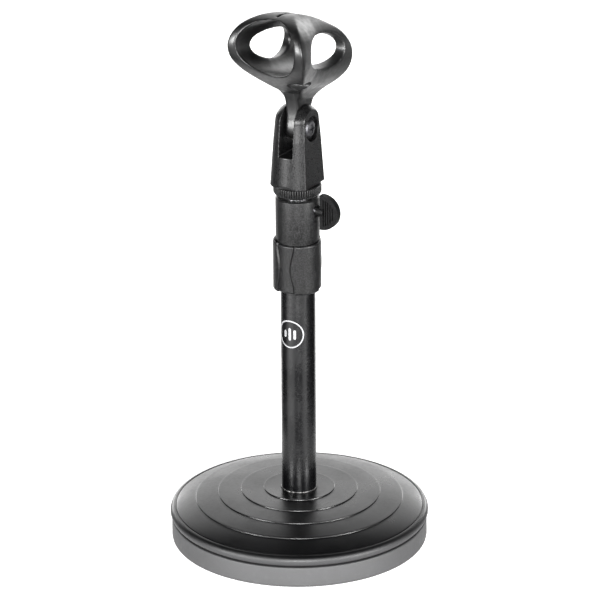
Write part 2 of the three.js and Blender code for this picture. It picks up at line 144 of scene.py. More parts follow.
def rounded(corners, steps=4):
    """A closed outline from (radius, height, fillet) corners, each fillet drawn as an arc."""
    points = []
    count = len(corners)
    for i, (r, z, fillet) in enumerate(corners):
        here = Vector((r, z))
        before = Vector(corners[i - 1][:2]) - here
        after = Vector(corners[(i + 1) % count][:2]) - here
        angle = before.angle(after, math.pi)
        if fillet <= 0 or angle > math.radians(178):
            points.append(here)
            continue
        reach = min(fillet / math.tan(angle / 2), before.length * 0.49, after.length * 0.49)
        start, end = here + before.normalized() * reach, here + after.normalized() * reach
        for s in range(steps + 1):
            t = s / steps
            points.append(start.lerp(here, t).lerp(here.lerp(end, t), t))
    return points


def lathe(name, outline, segments=192):
    """A solid turned about Z from a closed outline of (radius, height) points in millimetres."""
    rows = [[(r * c, r * s, z) for r, z in outline] for c, s in circle(segments)]
    return grid_mesh(name, rows)


def stacked_rings(name, rings, segments):
    """A solid about Z from (radius, height) rings, closed flat at both ends."""
    rows = [ring_about_z(r, z, segments) for r, z in rings]
    return grid_mesh(name, rows, closed_rows=False)


def apply_modifiers(obj):
    """Bakes the object's modifiers into a new mesh."""
    bpy.context.view_layer.update()
    graph = bpy.context.evaluated_depsgraph_get()
    baked = bpy.data.meshes.new_from_object(obj.evaluated_get(graph))
    obj.modifiers.clear()
    obj.data = baked


def cut(obj, cutter, operation="DIFFERENCE"):
    """Applies a boolean with a helper object, which is then removed."""
    modifier = obj.modifiers.new("cut", "BOOLEAN")
    modifier.operation = operation
    modifier.solver = "EXACT"
    modifier.object = cutter
    apply_modifiers(obj)
    bpy.data.objects.remove(cutter)
    return obj


def even_out(obj, voxel_mm, rounds):
    """Remakes an object's mesh from even, fine faces and softens its edges."""
    remesh = obj.modifiers.new("remesh", "REMESH")
    remesh.mode = "VOXEL"
    remesh.voxel_size = voxel_mm * MM
    soften = obj.modifiers.new("soften", "SMOOTH")
    soften.factor = 0.5
    soften.iterations = rounds
    apply_modifiers(obj)
    obj.data.shade_smooth()


def soften_edges(node, width_mm):
    """Rounds a CAD node's sharp edges with modifiers and smooths its curved faces."""
    crease_degrees = 30
    obj = NODES[node]
    merge = obj.modifiers.new("merge_flats", "DECIMATE")
    merge.decimate_type = "DISSOLVE"
    merge.angle_limit = math.radians(0.8)
    bevel = obj.modifiers.new("round_edges", "BEVEL")
    bevel.width = width_mm * MM
    bevel.segments = 2
    bevel.limit_method = "ANGLE"
    bevel.angle_limit = math.radians(crease_degrees)
    bevel.harden_normals = False
    smooth(obj, crease_degrees)


# ---- Materials ----------------------------------------------------------------------------------
class Finish:
    """A node material under construction, in the stand's own coordinates."""

    def __init__(self, name):
        self.material = bpy.data.materials.new(name)
        self.material.use_nodes = True
        self.tree = self.material.node_tree
        self.shader = self.tree.nodes["Principled BSDF"]
        self.place = self.tree.nodes.new("ShaderNodeTexCoord").outputs["Object"]

    def node(self, kind, **settings):
        """A new shader node with the settings given."""
        made = self.tree.nodes.new(kind)
        for key, value in settings.items():
            setattr(made, key, value)
        return made

    def link(self, source, target):
        self.tree.links.new(source, target)

    def noise(self, size_mm, detail=3.0, roughness=0.5, stretch=(1, 1, 1)):
        """Noise whose features are about size_mm across."""
        mapping = self.node("ShaderNodeMapping")
        mapping.inputs["Scale"].default_value = stretch
        self.link(self.place, mapping.inputs["Vector"])
        texture = self.node("ShaderNodeTexNoise")
        texture.inputs["Scale"].default_value = 1 / (size_mm * MM)
        texture.inputs["Detail"].default_value = detail
        texture.inputs["Roughness"].default_value = roughness
        self.link(mapping.outputs["Vector"], texture.inputs["Vector"])
        return texture.outputs["Fac"]

    def cells(self, size_mm):
        """Distance from the middles of cells about size_mm across."""
        texture = self.node("ShaderNodeTexVoronoi")
        texture.inputs["Scale"].default_value = 1 / (size_mm * MM)
        self.link(self.place, texture.inputs["Vector"])
        return texture.outputs["Distance"]

    def ramp(self, value, low, high, low_out, high_out):
        """value carried from [low, high] to [low_out, high_out], smoothly and within it."""
        made = self.node("ShaderNodeMapRange", interpolation_type="SMOOTHSTEP")
        made.inputs["From Min"].default_value = low
        made.inputs["From Max"].default_value = high
        made.inputs["To Min"].default_value = low_out
        made.inputs["To Max"].default_value = high_out
        self.link(value, made.inputs["Value"])
        return made.outputs["Result"]

    def maths(self, operation, a, b):
        """A sum on two values; a and b are numbers or sockets."""
        made = self.node("ShaderNodeMath", operation=operation)
        for socket, value in zip(made.inputs, (a, b)):
            if isinstance(value, (int, float)):
                socket.default_value = value
            else:
                self.link(value, socket)
        return made.outputs["Value"]

    def mix(self, factor, a, b):
        """A colour mixed from a to b by a factor; a and b are colours or sockets."""
        made = self.node("ShaderNodeMix", data_type="RGBA")
        self.link(factor, made.inputs["Factor"])
        colour_in_a, colour_in_b, colour_out = made.inputs[6], made.inputs[7], made.outputs[2]
        for socket, value in ((colour_in_a, a), (colour_in_b, b)):
            if isinstance(value, tuple):
                socket.default_value = (*value, 1)
            else:
                self.link(value, socket)
        return colour_out

    def edges(self, radius_mm):
        """0 on flat and smooth surfaces, rising to 1 along outside edges."""
        bevel = self.node("ShaderNodeBevel", samples=4)
        bevel.inputs["Radius"].default_value = radius_mm * MM
        geometry = self.node("ShaderNodeNewGeometry")
        dot = self.node("ShaderNodeVectorMath", operation="DOT_PRODUCT")
        self.link(bevel.outputs["Normal"], dot.inputs[0])
        self.link(geometry.outputs["Normal"], dot.inputs[1])
        return self.ramp(dot.outputs["Value"], 0.8, 0.995, 1.0, 0.0)

    def hollows(self, reach_mm):
        """0 in the open, rising to 1 in recesses narrower than about reach_mm."""
        sheltered = self.node("ShaderNodeAmbientOcclusion", samples=8, only_local=True)
        sheltered.inputs["Distance"].default_value = reach_mm * MM
        return self.ramp(sheltered.outputs["AO"], 0.3, 0.78, 1.0, 0.0)

    def height(self, low_mm, high_mm):
        """1 below the lower height and 0 above the upper one."""
        split = self.node("ShaderNodeSeparateXYZ")
        self.link(self.place, split.inputs["Vector"])
        return self.ramp(split.outputs["Z"], low_mm * MM, high_mm * MM, 1.0, 0.0)

    def bump(self, heights):
        """Chains (height socket, depth in mm, strength) bumps into the shader's normal."""
        normal = None
        for height, depth_mm, strength in heights:
            made = self.node("ShaderNodeBump")
            made.inputs["Distance"].default_value = depth_mm * MM
            made.inputs["Strength"].default_value = strength
            self.link(height, made.inputs["Height"])
            if normal:
                self.link(normal, made.inputs["Normal"])
            normal = made.outputs["Normal"]
        self.link(normal, self.shader.inputs["Normal"])

    def done(self, colour, roughness, **constants):
        """Joins up the shader. The constants are its sockets' names, with _ for a space."""
        self.link(colour, self.shader.inputs["Base Color"])
        self.link(roughness, self.shader.inputs["Roughness"])
        for key, value in constants.items():
            self.shader.inputs[key.replace("_", " ")].default_value = value
        return self.material


def black_paint(name, gloss, wear, painted_light_band_mm=None):
    """Semi-gloss black paint: faint orange peel, dust nibs, and bare metal at chipped edges.
    Given a pair of heights as its last argument, it is a rougher satin below them, and its colour there
    is painted greyer as painted light."""
    f = Finish(name)
    broad, peel, nibs = f.noise(24, 2), f.noise(1.8, 3), f.noise(0.5, 2)
    chips = f.maths("MULTIPLY", f.edges(0.35), f.ramp(f.noise(2.2, 5, 0.7), 0.52, 0.6, 0, wear))
    paint = f.mix(broad, (0.0014, 0.0014, 0.0016), (0.003, 0.003, 0.0034))
    dust_and_painted_light = f.mix(f.ramp(nibs, 0.6, 0.78, 0, 0.5), paint, (0.009, 0.009, 0.0095))
    # Painted light: below the band's heights the colour is painted greyer, standing in for the light
    # the bead's lower half catches.
    if painted_light_band_mm:
        dust_and_painted_light = f.mix(f.height(*painted_light_band_mm), dust_and_painted_light, (0.026, 0.026, 0.027))
    colour = f.mix(chips, dust_and_painted_light, (0.2, 0.19, 0.18))
    sheen = f.ramp(broad, 0.3, 0.7, gloss, gloss + 0.09)
    if painted_light_band_mm:
        satin = f.maths("MULTIPLY", f.height(painted_light_band_mm[1] - 1, painted_light_band_mm[1] + 1), 0.2)
        sheen = f.maths("ADD", sheen, satin)
    roughness = f.maths("ADD", sheen, f.ramp(peel, 0.4, 0.7, 0, 0.05))
    f.bump([(peel, 0.03, 0.3), (nibs, 0.015, 0.25)])
    return f.done(colour, roughness, Specular_IOR_Level=0.5)


def grained_plastic(
    name, tone, rough, grain_mm, depth_mm, edge_tone=0.02, sheen_level=0.26, hollow_shade_mm=0
):
    """Moulded black plastic with an etched grain, worn a little smoother on its edges.
    Given a hollow reach, recesses narrower than about that are dull and painted darker: painted shade."""
    f = Finish(name)
    broad, grain, pits = f.noise(14, 2), f.noise(grain_mm, 4, 0.6), f.cells(grain_mm * 0.9)
    body = f.mix(broad, (tone * 0.75,) * 3, (tone * 1.1, tone * 1.1, tone * 1.15))
    speckled = f.mix(f.ramp(grain, 0.44, 0.62, 0, 0.9), body, (tone * 7, tone * 7, tone * 7.2))
    worn = f.edges(0.4)
    scuffed = f.maths("MULTIPLY", worn, f.ramp(grain, 0.35, 0.6, 0.2, 0.9))
    colour = f.mix(scuffed, speckled, (edge_tone,) * 3)
    etched = f.ramp(grain, 0.3, 0.7, rough - 0.1, rough + 0.14)
    roughness = f.maths("SUBTRACT", etched, f.maths("MULTIPLY", worn, 0.12))
    if hollow_shade_mm:
        sheltered = f.hollows(hollow_shade_mm)
        roughness = f.maths("MAXIMUM", roughness, sheltered)
        # Painted shade: the colour darkens towards black in the recesses.
        colour = f.mix(sheltered, colour, (tone * 0.1,) * 3)
    f.bump([(grain, depth_mm, 0.45), (pits, depth_mm * 0.6, 0.25)])
    return f.done(colour, roughness, Specular_IOR_Level=sheen_level)


def rubber(name, tone, rough, streaks=0.0):
    """Dark rubber: satin, slightly mottled, with fine moulding texture and a dusty bloom, and painted
    shade in its recesses.
    """
    f = Finish(name)
    broad, mottle, fine = f.noise(18, 3), f.noise(3.2, 4, 0.6), f.noise(0.55, 3)
    body = f.mix(broad, (tone * 0.85,) * 3, (tone * 1.1, tone * 1.1, tone * 1.14))
    bloom = f.mix(f.ramp(mottle, 0.48, 0.72, 0, 0.4), body, (tone * 1.4, tone * 1.4, tone * 1.43))
    scuffed = f.maths("MULTIPLY", f.edges(0.6), f.ramp(mottle, 0.4, 0.6, 0.1, 0.7))
    colour = f.mix(scuffed, bloom, (tone * 2.4,) * 3)
    satin = f.ramp(mottle, 0.35, 0.7, rough, rough + 0.1)
    # Painted shade: recesses within about 12 mm are painted darker as well as dull.
    sheltered = f.hollows(reach_mm=12)
    roughness = f.maths("MAXIMUM", satin, sheltered)
    colour = f.mix(sheltered, colour, (tone * 0.3,) * 3)
    heights = [(mottle, 0.03, 0.12), (fine, 0.02, 0.25)]
    if streaks:
        heights.append((f.noise(1.1, 2, 0.5, (1, 1, 0.08)), streaks, 0.3))
    f.bump(heights)
    return f.done(colour, roughness, Specular_IOR_Level=0.46)


def metal(name, light, dark, rough, brushed=(1, 1, 1)):
    """Plated or turned metal: fine machining lines, light tarnish and scuffs."""
    f = Finish(name)
    broad, lines, scuffs = f.noise(5, 3), f.noise(0.35, 2, 0.5, brushed), f.noise(1.4, 5, 0.7)
    colour = f.mix(f.ramp(broad, 0.35, 0.7, 0, 1), light, dark)
    machined = f.ramp(lines, 0.3, 0.7, rough, rough + 0.12)
    roughness = f.maths("ADD", machined, f.ramp(scuffs, 0.55, 0.7, 0, 0.15))
    f.bump([(lines, 0.01, 0.35), (scuffs, 0.008, 0.2)])
    return f.done(colour, roughness, Metallic=1.0)


def chipped_rim_and_highlight(name):
    """Paint that has cracked off a rim and left grey primer and bare metal between the flakes; the pale
    grey between the flakes is also a painted highlight round the tube's foot.
    """
    f = Finish(name)
    flakes, fine = f.noise(1.3, 4, 0.7), f.noise(0.4, 3)
    # Partly painted highlight: the pale grey flakes also stand in for the bright glint round the tube's
    # foot.
    colour = f.mix(f.ramp(flakes, 0.46, 0.54, 0, 1), (0.006, 0.006, 0.0062), (0.14, 0.137, 0.134))
    f.bump([(flakes, 0.06, 0.5), (fine, 0.02, 0.3)])
    return f.done(colour, f.ramp(fine, 0.3, 0.7, 0.28, 0.45), Specular_IOR_Level=0.6)


def nylon(name):
    """Undyed moulded nylon."""
    f = Finish(name)
    broad, fine = f.noise(6, 3), f.noise(0.6, 3)
    colour = f.mix(broad, (0.62, 0.6, 0.54), (0.74, 0.73, 0.68))
    f.bump([(fine, 0.02, 0.3)])
    return f.done(colour, f.ramp(fine, 0.3, 0.7, 0.38, 0.52), Specular_IOR_Level=0.5)


def felt(name):
    """Matted black felt."""
    f = Finish(name)
    fibres, clumps = f.noise(0.8, 5, 0.7), f.noise(6, 3)
    colour = f.mix(fibres, (0.006, 0.006, 0.007), (0.03, 0.03, 0.032))
    f.bump([(fibres, 0.3, 0.8), (clumps, 0.3, 0.4)])
    return f.done(colour, f.ramp(clumps, 0.3, 0.7, 0.88, 1.0), Specular_IOR_Level=0.2)


TURNED = (1, 1, 6)  # stretches the machining lines round the Z axis
MATERIALS = {
    # The bead's lower band is painted greyer as painted light.
    "painted_iron": black_paint("painted_iron", gloss=0.26, wear=0.35, painted_light_band_mm=(14.6, 18.2)),
    "painted_steel": black_paint("painted_steel", gloss=0.2, wear=0.8),
    "black_rubber": rubber("black_rubber", tone=0.037, rough=0.55, streaks=0.03),
    "felt_pad": felt("felt_pad"),
    "plated_steel": metal("plated_steel", (0.6, 0.6, 0.61), (0.42, 0.42, 0.43), 0.24, TURNED),
    "black_steel": metal("black_steel", (0.12, 0.12, 0.125), (0.05, 0.05, 0.055), 0.38),
    "brass": metal("brass", (0.66, 0.5, 0.24), (0.5, 0.36, 0.17), 0.3, TURNED),
    "natural_nylon": nylon("natural_nylon"),
    "grained_plastic": grained_plastic(
        "grained_plastic", tone=0.0022, rough=0.4, grain_mm=0.6, depth_mm=0.1
    ),
    "smooth_plastic": grained_plastic(
        "smooth_plastic", tone=0.002, rough=0.36, grain_mm=0.6, depth_mm=0.04, edge_tone=0.05
    ),
    "yoke_plastic": grained_plastic(
        "yoke_plastic", tone=0.0018, rough=0.34, grain_mm=0.55, depth_mm=0.07
    ),
    "clip_rubber": rubber("clip_rubber", tone=0.0045, rough=0.34),
}
KNOB_PLASTIC = grained_plastic(
    "knob_plastic",
    tone=0.0014,
    rough=0.44,
    grain_mm=0.5,
    depth_mm=0.03,
    # The lighter worn edges on the ribs are partly wear and partly a painted highlight along their
    # tops.
    edge_tone=0.01,
    sheen_level=0.08,
    # Painted shade darkens the grooves between the grip's ribs.
    hollow_shade_mm=1.2,
)
BODY_OF = {
    node: body for body, nodes in frame["record"]["behaviour"]["bodies"].items() for node in nodes
}
SLOT_OF = {part["node"]: part["material_slot"] for part in frame["record"]["subparts"]}


def dress(obj, slot_name):
    """Gives an object the one material of a record's slot."""
    obj.data.materials.clear()
    obj.data.materials.append(MATERIALS[slot_name])


def stand_in(obj, node):
    """obj replaces a CAD node: same body, same material slot."""
    dress(obj, SLOT_OF[node])
    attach(obj, BODY_OF[node])
    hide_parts(node)


# ---- Base ---------------------------------------------------------------------------------------
BASE_SEGMENTS = 288
PLATE_INSET = 3.6  # mm, from the bead's outside to where the domed plate starts
BEAD_RADIUS = 3.2
BEAD_HEIGHT = 3.7  # of its middle, above the rubber ring
TERRACES = [59.9, 46.9, 33.7, 20.5]  # radii of the steps, outside to inside
TERRACE_RISE = 0.62


def bead_corners(radius, bead_z):
    """The rounded bead round the casting's rim, from low on its outside to its top."""
    first, sweep, spans = -75, 158, 14
    corners = []
    for i in range(spans + 1):
        angle = math.radians(first + sweep * i / spans)
        r = radius - BEAD_RADIUS + BEAD_RADIUS * math.cos(angle)
        corners.append((r, bead_z + BEAD_RADIUS * math.sin(angle), 0))
    return corners


def terrace_corners(plate_radius, socket, crown):
    """The domed plate from its edge to the tube's socket, with a low step at each terrace."""
    droop, curve, spans = 10.5, 3.2, 8
    corners = []
    stops = [plate_radius, *TERRACES, socket + 0.4]
    for outer, inner in zip(stops, stops[1:]):
        rise = 0 if outer == plate_radius else TERRACE_RISE
        for s in range(spans + 1):
            r = outer + (inner - outer) * s / spans
            dome = crown - 0.4 - droop * (r / plate_radius) ** curve
            lift = rise * (1 - (s / spans) ** 0.7)
            fillet = 0.22 if s in (0, spans) else 0
            corners.append((r, dome + lift, fillet))
    return corners


def underside_corners(low_z, ring_high, radius, crown, socket):
    """The tube's socket, the bolt's hole, the hollow underneath and the seat of the rubber ring."""
    socket_floor = node_box("lower_tube")[0].z - 0.3
    bolt_hole, bolt_seat, boss_in, boss_out = 6.4, 14, 15, 20
    ring_seat = ring_high.x - 5.3
    seat_top = ring_high.z + 0.3
    return [
        (socket, crown - 0.5, 0.3),
        (socket, socket_floor, 0),
        (bolt_hole, socket_floor, 0),
        (bolt_hole, bolt_seat, 0.5),
        (boss_in, bolt_seat, 1),
        (boss_in, low_z, 0.8),
        (boss_out, low_z, 0.8),
        (24, 17, 3),
        (46, 17, 3),
        (61, 12, 3),
        (65, low_z, 0.8),
        (ring_seat, low_z, 0.4),
        (ring_seat, seat_top, 0.3),
        (radius - 3.4, seat_top, 0.3),
    ]


def build_base():
    """The domed iron casting with its terraces and bead, and the rubber ring it stands on."""
    low, high = node_box("base_casting")
    ring_low, ring_high = node_box("base_rubber_ring")
    radius, crown = high.x, high.z
    plate_radius = radius - PLATE_INSET
    bead_z = ring_high.z + BEAD_HEIGHT
    socket = node_box("lower_tube")[1].x + 0.3
    corners = bead_corners(radius, bead_z)
    corners.append((plate_radius + 0.25, bead_z + 2.75, 0.25))
    corners += terrace_corners(plate_radius, socket, crown)
    corners += underside_corners(low.z, ring_high, radius, crown, socket)
    casting = lathe("base_casting_fine", rounded(corners, 3), BASE_SEGMENTS)
    stand_in(smooth(casting, 50), "base_casting")

    outer = ring_high.x
    inner = outer - 5
    skirt = [
        (inner, ring_low.z, 0.5),
        (outer - 0.2, ring_low.z, 0.9),
        (outer, ring_low.z + 1.6, 0.5),
        (outer - 0.1, ring_high.z, 0.8),
        (inner, ring_high.z, 0.5),
    ]
    rubber_ring = lathe("base_rubber_ring_fine", rounded(skirt, 5), BASE_SEGMENTS)
    stand_in(smooth(rubber_ring), "base_rubber_ring")


# ---- Column -------------------------------------------------------------------------------------
def build_tube():
    """The lower tube with rounded rims, and the paint round its foot."""
    low, high = node_box("lower_tube")
    radius = high.x
    foot = node_box("base_casting")[1].z
    corners = [
        (radius - 1.2, low.z, 0),
        (radius - 0.4, low.z, 0.3),
        (radius, low.z + 0.6, 0.2),
        (radius, foot + 0.35, 0),
        (radius - 0.05, foot + 8, 0),
        (radius, high.z - 0.6, 0.2),
        (radius - 0.5, high.z, 0.2),
        (radius - 1.2, high.z, 0),
    ]
    stand_in(smooth(lathe("lower_tube_fine", rounded(corners, 3), 128)), "lower_tube")
    build_foot_paint(radius, foot)


def build_foot_paint(radius, foot):
    """A thin, ragged ring of paint that has pooled and cracked where the tube enters the casting."""
    segments, profile = 160, 8
    rows = []
    for i in range(segments):
        angle = FULL_TURN * i / segments
        ragged = 0.12 * math.sin(7 * angle + 1)
        ragged += 0.08 * math.sin(17 * angle)
        ragged += 0.05 * math.sin(31 * angle)
        row = []
        for c, s in circle(profile):
            r = radius + 0.12 + (0.3 + 0.5 * ragged) * c
            z = foot - 0.1 + (0.34 + 0.6 * ragged) * s
            row.append((r * math.cos(angle), r * math.sin(angle), z))
        rows.append(row)
    fillet = grid_mesh("tube_foot_paint", rows)
    fillet.data.shade_smooth()
    fillet.data.materials.append(chipped_rim_and_highlight("chipped_rim_and_highlight"))
    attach(fillet, "stand")


BADGE_HEIGHT = 128  # mm above the table
BADGE_ANGLE = -math.pi / 2  # the tube's front
BADGE_UNDER = 0.02  # mm between the tube and the ink's underside
BADGE_OVER = 0.06  # and its top


def wrapped_patch(name, radius, shape):
    """A thin layer of ink on a tube, from pairs of points on its inner and outer outline."""
    rows = []
    for inside, outside in shape:
        row = []
        for lift, (x, z) in (
            (BADGE_UNDER, inside),
            (BADGE_OVER, inside),
            (BADGE_OVER, outside),
            (BADGE_UNDER, outside),
        ):
            angle = BADGE_ANGLE + x / radius
            r = radius + lift
            row.append((r * math.cos(angle), r * math.sin(angle), BADGE_HEIGHT + z))
        rows.append(row)
    return grid_mesh(name, rows)


def ring_shape(inner, outer):
    return [((inner * c, inner * s), (outer * c, outer * s)) for c, s in circle(96)]


def bar_shape(middle, half_height):
    """An upright bar with round ends, drawn from its own middle line outwards."""
    half_width, core = 0.8, 0.05
    pairs = []
    for c, s in circle(24):
        straight = (half_height - half_width) * (1 if s >= 0 else -1)
        outer = (middle + half_width * c, straight + half_width * s)
        inner = (middle + core * c, straight * 0.95 + core * s)
        pairs.append((inner, outer))
    return pairs


def build_badge():
    """A plain printed roundel on the tube's front: a ring round three upright bars."""
    radius = node_box("lower_tube")[1].x
    ink = Finish("badge_ink")
    worn = ink.noise(0.8, 4, 0.6)
    ink_colour = ink.mix(ink.ramp(worn, 0.5, 0.75, 0, 0.7), (0.2, 0.2, 0.205), (0.06, 0.06, 0.062))
    ink.bump([(worn, 0.01, 0.2)])
    material = ink.done(ink_colour, ink.ramp(worn, 0.3, 0.7, 0.35, 0.5))
    pieces = [wrapped_patch("badge_ring", radius, ring_shape(7.6, 8.4))]
    spacing = 3
    for index, half_height in enumerate((2.2, 3.8, 2.9)):
        shape = bar_shape((index - 1) * spacing, half_height)
        pieces.append(wrapped_patch(f"badge_bar_{index + 1}", radius, shape))
    for piece in pieces:
        piece.data.materials.append(material)
        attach(piece, "stand")


# ---- Clutch -------------------------------------------------------------------------------------
def build_sleeve():
    """The clutch body on top of the tube, with the hole for the thumbscrew's insert."""
    low, high = node_box("clutch_body")
    radius = high.x
    tube = node_box("lower_tube")[1].x
    rod = node_box("upper_rod")[1].x
    seat = node_box("rod_guide_bush")[1].z + 0.3
    shoulder = node_box("clutch_collar")[1].z + 0.4
    corners = [
        (tube + 0.15, low.z, 0.2),
        (radius - 0.4, low.z, 0.3),
        (radius - 0.4, shoulder, 0),
        (radius, shoulder, 0.1),
        (radius, high.z - 0.9, 0.25),
        (radius - 0.9, high.z, 0.25),
        (rod + 0.9, high.z, 0.3),
        (rod + 0.4, high.z - 0.5, 0.2),
        (rod + 0.4, seat, 0),
        (tube + 0.15, seat, 0),
    ]
    sleeve = lathe("clutch_body_fine", rounded(corners, 3), 160)
    insert_low, insert_high = node_box("thumb_insert_nut")
    hole_radius = insert_high.y + 0.15
    hole_z = (insert_low.z + insert_high.z) / 2
    rows = []
    for x in (insert_low.x - 2, radius + 2):
        rows.append([(x, hole_radius * c, hole_z + hole_radius * s) for c, s in circle(64)])
    cut(sleeve, grid_mesh("insert_hole", rows, closed_rows=False))
    stand_in(smooth(sleeve, 32), "clutch_body")


def build_collar():
    """The twist collar: three raised barrel-shaped panels over three low hourglass ones."""
    low, high = node_box("clutch_collar")
    skirt = node_box("clutch_body")[1].x
    raised_radius, low_radius = 14.1, 13.35
    first, half_span, bulge = math.radians(-35), math.radians(40), math.radians(4.8)
    panels, around, levels = 3, 720, 72
    pitch = FULL_TURN / panels
    step_run = 0.028  # radians over which the surface rises from a low panel to a raised one
    groove_depth, groove_run = 0.5, 0.026
    rim_inset, rim_rounding, rim_height = 0.55, 0.7, 0.9
    height = high.z - low.z
    outside = []
    for level in range(levels + 1):
        share = level / levels
        half = half_span - bulge * math.cos(2 * math.pi * share)
        ring = []
        for i in range(around):
            angle = FULL_TURN * i / around
            offset = abs((angle - first + pitch / 2) % pitch - pitch / 2)
            t = min(max((half - offset) / step_run + 0.5, 0), 1)
            raised = t * t * (3 - 2 * t)
            groove = math.exp(-(((offset - half) / groove_run) ** 2))
            # Raised panels stand a little past the low ones, top and bottom, with rounded ends.
            inset = rim_inset * (1 - raised)
            z = low.z + inset * 0.9 + share * (height - inset * 1.4)
            end = min(share, 1 - share) * height
            rounding = rim_rounding * max(0, 1 - end / rim_height) ** 2
            sag = 0.12 * math.cos(offset / half_span * math.pi) * raised
            step = (raised_radius - low_radius) * raised
            r = min(low_radius + step + sag - groove_depth * groove - rounding, raised_radius)
            ring.append((r * math.cos(angle), r * math.sin(angle), z))
        outside.append(ring)
    mouth = node_box("lower_tube")[1].x + 0.5
    inside = [
        (skirt - 0.1, high.z - 0.9),
        (skirt - 0.1, low.z + 2),
        (mouth, low.z + 2),
        (mouth, low.z + 0.5),
        (mouth + 0.4, low.z + 0.1),
    ]
    inner_rings = [ring_about_z(r, z, around) for r, z in inside]
    collar = grid_mesh("clutch_collar_fine", outside + inner_rings)
    stand_in(smooth(collar, 50), "clutch_collar")


def build_thumb_boss():
    """The grip's boss, carried on to just short of the clutch so that it hides the screw."""
    low, high = node_box("thumb_wing")
    centre_z = (low.z + high.z) / 2
    start = node_box("clutch_body")[1].x + 0.14
    outline = [(0, 2.3), (0, 2.9), (0.25, 3.15), (1.6, 3.15), (1.9, 2.3)]
    rows = [[(start + x, r * c, centre_z + r * s) for x, r in outline] for c, s in circle(64)]
    boss = smooth(grid_mesh("thumb_boss", rows), 30)
    boss.data.materials.append(KNOB_PLASTIC)
    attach(boss, "thumbscrew")


# ---- Clip and yoke ------------------------------------------------------------------------------
def build_head():
    """The clip, evened out with its stem filled and its recess cut, and the yoke."""
    clip = new_object("clip_body_fine", NODES["clip_body"].data.copy())
    clip.data.materials.clear()
    cut(clip, stem_barrel(), "UNION")
    even_out(clip, 0.45, 34)
    smooth(cut(clip, clip_notch()), 50)
    stand_in(clip, "clip_body")
    build_yoke()


def clip_point(x, y, z):
    """A point of the clip's own frame, whose stem runs up Z from the pivot, as it leans at rest."""
    c, s = math.cos(CLIP_LEAN), math.sin(CLIP_LEAN)
    return (x, y * c - z * s, PIVOT_HEIGHT + y * s + z * c)


def clip_notch():
    """A flat ellipsoid that undercuts the right leaf where it leaves the stem."""
    middle = (12.0, -21.6, 25.8)
    reach = (7.5, 7.4, 3.7)
    slices = 20
    rows = []
    for i in range(1, slices):
        tip = math.pi * i / slices
        x = middle[0] - reach[0] * math.cos(tip)
        row = []
        for c, s in circle(32):
            y = middle[1] + reach[1] * math.sin(tip) * c
            z = middle[2] + reach[2] * math.sin(tip) * s
            row.append(clip_point(x, y, z))
        rows.append(row)
    return grid_mesh("clip_notch", rows, closed_rows=False)


def stem_barrel():
    """A straight block between the clip's stem and its tongue, in line with the leaning clip."""
    half_x, half_y = 3.9, 7.25
    corners = ((-half_x, -half_y), (half_x, -half_y), (half_x, half_y), (-half_x, half_y))
    rows = [[clip_point(x, y, z) for x, y in corners] for z in (0, 4, 9)]
    return grid_mesh("stem_barrel", rows, closed_rows=False)


def dome_bound():
    """The yoke's outer bound: a round post that tapers and closes over the top in a dome."""
    low, high = node_box("yoke")
    foot_radius, shoulder_radius = 17.0, 12.6
    shoulder_z = high.z - 8.6
    dome_height = 9.2
    rings = [(foot_radius, low.z - 1), (shoulder_radius, shoulder_z)]
    steps = 24
    for i in range(1, steps):
        angle = math.pi / 2 * i / steps
        rings.append((shoulder_radius * math.cos(angle), shoulder_z + dome_height * math.sin(angle)))
    return stacked_rings("yoke_dome", rings, 160)


def build_yoke():
    """The CAD yoke with a domed top and softened edges."""
    yoke = new_object("yoke_fine", NODES["yoke"].data.copy())
    yoke.data.materials.clear()
    cut(yoke, dome_bound(), "INTERSECT")
    even_out(yoke, 0.26, 9)
    stand_in(yoke, "yoke")


def build_lock_ring():
    """The knurled ring: flat-topped teeth between deep rounded grooves, with chamfered rims."""
    low, high = node_box("lock_ring")
    radius = high.x
    bore = node_box("upper_rod")[1].x + 0.3
    teeth, spans, depth = 60, 8, 1.0
    groove_middle, groove_run = 0.5, 0.17  # as shares of a tooth's pitch
    rows = []
    for i, (c, s) in enumerate(circle(teeth * spans)):
        phase = (i % spans) / spans
        groove = math.exp(-(((phase - groove_middle) / groove_run) ** 2))
        r = radius - depth * groove
        outline = [
            (bore, low.z),
            (radius - 1.3, low.z),
            (min(radius - 0.55, r), low.z + 0.75),
            (min(radius - 0.12, r), low.z + 1.35),
            (r, low.z + 1.8),
            (r, high.z - 0.7),
            (min(radius - 0.12, r), high.z - 0.4),
            (min(radius - 0.45, r), high.z - 0.15),
            (radius - 1.15, high.z),
            (bore, high.z),
        ]
        rows.append([(p * c, p * s, z) for p, z in outline])
    stand_in(smooth(grid_mesh("lock_ring_fine", rows), 45), "lock_ring")


# ---- Carried-over nodes -------------------------------------------------------------------------
def finish_nodes():
    """Gives every CAD node its material and softens the edges of those that stay visible."""
    for name, node in NODES.items():
        dress(node, SLOT_OF[name])
    NODES["thumb_wing"].data.materials.clear()
    NODES["thumb_wing"].data.materials.append(KNOB_PLASTIC)
    soften_edges("thumb_wing", 0.22)
    soften_edges("pivot_screw", 0.12)
    soften_edges("pivot_nut", 0.15)
    soften_edges("base_bolt", 0.3)
    soften_edges("base_washer", 0.15)
    soften_edges("base_spring_washer", 0.12)
    for name in (
        "upper_rod",
        "rod_end_plug",
        "rod_guide_bush",
        "tube_plug",
        "thumb_screw_shank",
        "thumb_insert_nut",
        "thumb_pressure_pad",
        "yoke_thread_insert",
        "pivot_bush",
        "base_underlay",
    ):
        smooth(NODES[name], 40)


